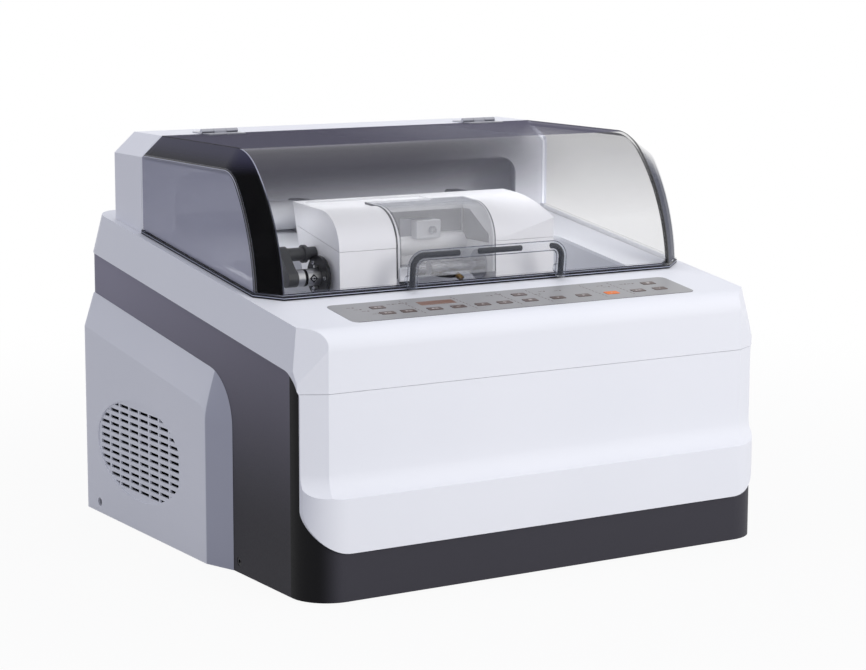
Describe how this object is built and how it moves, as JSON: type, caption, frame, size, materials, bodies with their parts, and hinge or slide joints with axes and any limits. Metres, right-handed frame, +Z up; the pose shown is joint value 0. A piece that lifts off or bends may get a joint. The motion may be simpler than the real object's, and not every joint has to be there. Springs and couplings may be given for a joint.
{
  "type": "automatic lens edger",
  "caption": "Table-top lens grinding machine: a swinging clamp head over diamond wheels in a wet chamber, under a hinged smoked lid, with a sloping key pad.",
  "frame": {"origin": "on the table, under the middle of the machine's footprint", "axes": "+X to the right seen from the front, +Y to the back, +Z up"},
  "size_m": [0.584, 0.52, 0.4349],
  "materials": {
    "white_cover": "satin",
    "dark_body": "satin",
    "side_grey": "satin",
    "hood_grey": "satin",
    "lid_smoke": "gloss",
    "lid_edge": "gloss",
    "handle_clear": "gloss",
    "guard_clear": "gloss",
    "hinge_metal": "satin",
    "head_white": "satin",
    "basin_grey": "satin",
    "overlay_grey": "satin",
    "key_brown": "satin",
    "key_orange": "satin",
    "board_green": "satin",
    "shaft_steel": "polished",
    "dark_steel": "satin",
    "cast_alu": "satin",
    "wheel_bond": "satin",
    "wheel_grit": "matte",
    "belt_rubber": "matte",
    "foot_rubber": "matte",
    "base_steel": "satin",
    "black_plastic": "satin",
    "pipe_plastic": "satin"
  },
  "bodies": {
    "housing": {"base_tray": "base_steel", "rubber_feet": "foot_rubber", "lower_body": "dark_body", "front_panel": "white_cover", "top_cover": "white_cover", "rear_hood": "hood_grey", "rear_panel": "dark_body", "side_cover_left": "side_grey", "side_cover_right": "side_grey", "hood_hinge_leaves": "hinge_metal", "keypad_overlay": "overlay_grey", "control_board": "board_green", "chamber_basin": "basin_grey", "water_lines": "pipe_plastic", "spindle_housing": "cast_alu", "drive_motor": "dark_steel", "drive_belt": "belt_rubber", "carriage_rail": "cast_alu", "traverse_motor": "dark_steel", "power_inlet": "black_plastic", "fan_frame": "black_plastic"},
    "lid": {"lid_shell": "lid_smoke", "lid_rim": "lid_edge", "lid_handle": "handle_clear", "lid_hinge_leaves": "hinge_metal"},
    "spindle": {"spindle_shaft": "shaft_steel", "rough_wheels": "wheel_grit", "finish_wheels": "wheel_bond", "spindle_pulley": "cast_alu"},
    "motor_rotor": {"motor_pulley": "cast_alu"},
    "screw": {"traverse_screw": "shaft_steel"},
    "carriage": {"carriage_yoke": "cast_alu"},
    "head": {"head_lower_case": "head_white", "head_upper_case": "head_white", "bay_guard": "guard_clear", "lens_motor": "dark_steel", "lens_belts": "belt_rubber"},
    "lens_left": {"lens_shaft_left": "shaft_steel", "pattern_flange": "dark_steel"},
    "layshaft": {"lens_layshaft": "shaft_steel"},
    "clamp_drive": {"clamp_pulley": "shaft_steel"},
    "clamp_shaft": {"lens_shaft_right": "shaft_steel"},
    "pattern_arm": {"pattern_arm": "dark_steel"},
    "power_switch": {"power_switch": "black_plastic"},
    "fan_rotor": {"fan_rotor": "black_plastic"},
    "key_01": {"key_01": "key_brown"},
    "key_02": {"key_02": "key_brown"},
    "key_03": {"key_03": "key_brown"},
    "key_04": {"key_04": "key_brown"},
    "key_05": {"key_05": "key_brown"},
    "key_06": {"key_06": "key_brown"},
    "key_07": {"key_07": "key_brown"},
    "key_08": {"key_08": "key_brown"},
    "key_09": {"key_09": "key_brown"},
    "key_10": {"key_10": "key_brown"},
    "key_11": {"key_11": "key_brown"},
    "key_12": {"key_12": "key_orange"},
    "key_13": {"key_13": "key_brown"},
    "key_14": {"key_14": "key_brown"},
    "key_15": {"key_15": "key_brown"}
  },
  "joints": [
    {"name": "lid_hinge", "type": "hinge", "parent": "housing", "child": "lid", "pos_m": [0, 0.147, 0.4323], "axis": [-1, 0, 0], "range_deg": [0, 75]},
    {"name": "spindle_spin", "type": "hinge", "parent": "housing", "child": "spindle", "pos_m": [0, -0.056, 0.1995], "axis": [1, 0, 0], "continuous": true},
    {"name": "motor_spin", "type": "hinge", "parent": "housing", "child": "motor_rotor", "pos_m": [0.14, 0.07, 0.0825], "axis": [1, 0, 0], "continuous": true},
    {"name": "traverse_slide", "type": "slide", "parent": "housing", "child": "carriage", "axis": [1, 0, 0], "range_m": [-0.01, 0.075]},
    {"name": "screw_spin", "type": "hinge", "parent": "housing", "child": "screw", "pos_m": [0, 0.114, 0.3385], "axis": [1, 0, 0], "range_deg": [-400, 2800]},
    {"name": "head_swing", "type": "hinge", "parent": "carriage", "child": "head", "pos_m": [0, 0.072, 0.3385], "axis": [-1, 0, 0], "range_deg": [-12, 12]},
    {"name": "lens_spin", "type": "hinge", "parent": "head", "child": "lens_left", "pos_m": [-0.1, -0.066, 0.2945], "axis": [1, 0, 0], "continuous": true},
    {"name": "layshaft_spin", "type": "hinge", "parent": "head", "child": "layshaft", "pos_m": [0, -0.03, 0.3155], "axis": [1, 0, 0], "continuous": true},
    {"name": "clamp_spin", "type": "hinge", "parent": "head", "child": "clamp_drive", "pos_m": [0.05, -0.066, 0.2945], "axis": [1, 0, 0], "continuous": true},
    {"name": "clamp_slide", "type": "slide", "parent": "clamp_drive", "child": "clamp_shaft", "axis": [1, 0, 0], "range_m": [0, 0.014]},
    {"name": "pattern_arm_swing", "type": "hinge", "parent": "head", "child": "pattern_arm", "pos_m": [-0.19, -0.045, 0.3165], "axis": [-1, 0, 0], "range_deg": [0, 100]},
    {"name": "fan_spin", "type": "hinge", "parent": "housing", "child": "fan_rotor", "pos_m": [-0.12, 0.225, 0.1125], "axis": [0, 1, 0], "continuous": true},
    {"name": "switch_rock", "type": "hinge", "parent": "housing", "child": "power_switch", "pos_m": [0.155, 0.2408, 0.0725], "axis": [1, 0, 0], "range_deg": [-5, 5]},
    {"name": "key_01_press", "type": "slide", "parent": "housing", "child": "key_01", "axis": [0, 0.1435, -0.9897], "range_m": [0, 0.0005], "stiffness_N_per_m": 200, "springref_m": -0.0005},
    {"name": "key_02_press", "type": "slide", "parent": "housing", "child": "key_02", "axis": [0, 0.1435, -0.9897], "range_m": [0, 0.0005], "stiffness_N_per_m": 200, "springref_m": -0.0005},
    {"name": "key_03_press", "type": "slide", "parent": "housing", "child": "key_03", "axis": [0, 0.1435, -0.9897], "range_m": [0, 0.0005], "stiffness_N_per_m": 200, "springref_m": -0.0005},
    {"name": "key_04_press", "type": "slide", "parent": "housing", "child": "key_04", "axis": [0, 0.1435, -0.9897], "range_m": [0, 0.0005], "stiffness_N_per_m": 200, "springref_m": -0.0005},
    {"name": "key_05_press", "type": "slide", "parent": "housing", "child": "key_05", "axis": [0, 0.1435, -0.9897], "range_m": [0, 0.0005], "stiffness_N_per_m": 200, "springref_m": -0.0005},
    {"name": "key_06_press", "type": "slide", "parent": "housing", "child": "key_06", "axis": [0, 0.1435, -0.9897], "range_m": [0, 0.0005], "stiffness_N_per_m": 200, "springref_m": -0.0005},
    {"name": "key_07_press", "type": "slide", "parent": "housing", "child": "key_07", "axis": [0, 0.1435, -0.9897], "range_m": [0, 0.0005], "stiffness_N_per_m": 200, "springref_m": -0.0005},
    {"name": "key_08_press", "type": "slide", "parent": "housing", "child": "key_08", "axis": [0, 0.1435, -0.9897], "range_m": [0, 0.0005], "stiffness_N_per_m": 200, "springref_m": -0.0005},
    {"name": "key_09_press", "type": "slide", "parent": "housing", "child": "key_09", "axis": [0, 0.1435, -0.9897], "range_m": [0, 0.0005], "stiffness_N_per_m": 200, "springref_m": -0.0005},
    {"name": "key_10_press", "type": "slide", "parent": "housing", "child": "key_10", "axis": [0, 0.1435, -0.9897], "range_m": [0, 0.0005], "stiffness_N_per_m": 200, "springref_m": -0.0005},
    {"name": "key_11_press", "type": "slide", "parent": "housing", "child": "key_11", "axis": [0, 0.1435, -0.9897], "range_m": [0, 0.0005], "stiffness_N_per_m": 200, "springref_m": -0.0005},
    {"name": "key_12_press", "type": "slide", "parent": "housing", "child": "key_12", "axis": [0, 0.1435, -0.9897], "range_m": [0, 0.0005], "stiffness_N_per_m": 200, "springref_m": -0.0005},
    {"name": "key_13_press", "type": "slide", "parent": "housing", "child": "key_13", "axis": [0, 0.1435, -0.9897], "range_m": [0, 0.0005], "stiffness_N_per_m": 200, "springref_m": -0.0005},
    {"name": "key_14_press", "type": "slide", "parent": "housing", "child": "key_14", "axis": [0, 0.1435, -0.9897], "range_m": [0, 0.0005], "stiffness_N_per_m": 200, "springref_m": -0.0005},
    {"name": "key_15_press", "type": "slide", "parent": "housing", "child": "key_15", "axis": [0, 0.1435, -0.9897], "range_m": [0, 0.0005], "stiffness_N_per_m": 200, "springref_m": -0.0005}
  ],
  "couplings": [
    {"joint": "motor_spin", "follows": "spindle_spin", "ratio": 1.2},
    {"joint": "screw_spin", "follows": "traverse_slide", "rad_per_m": 628.32},
    {"joint": "layshaft_spin", "follows": "lens_spin", "ratio": 1},
    {"joint": "clamp_spin", "follows": "lens_spin", "ratio": 1}
  ]
}
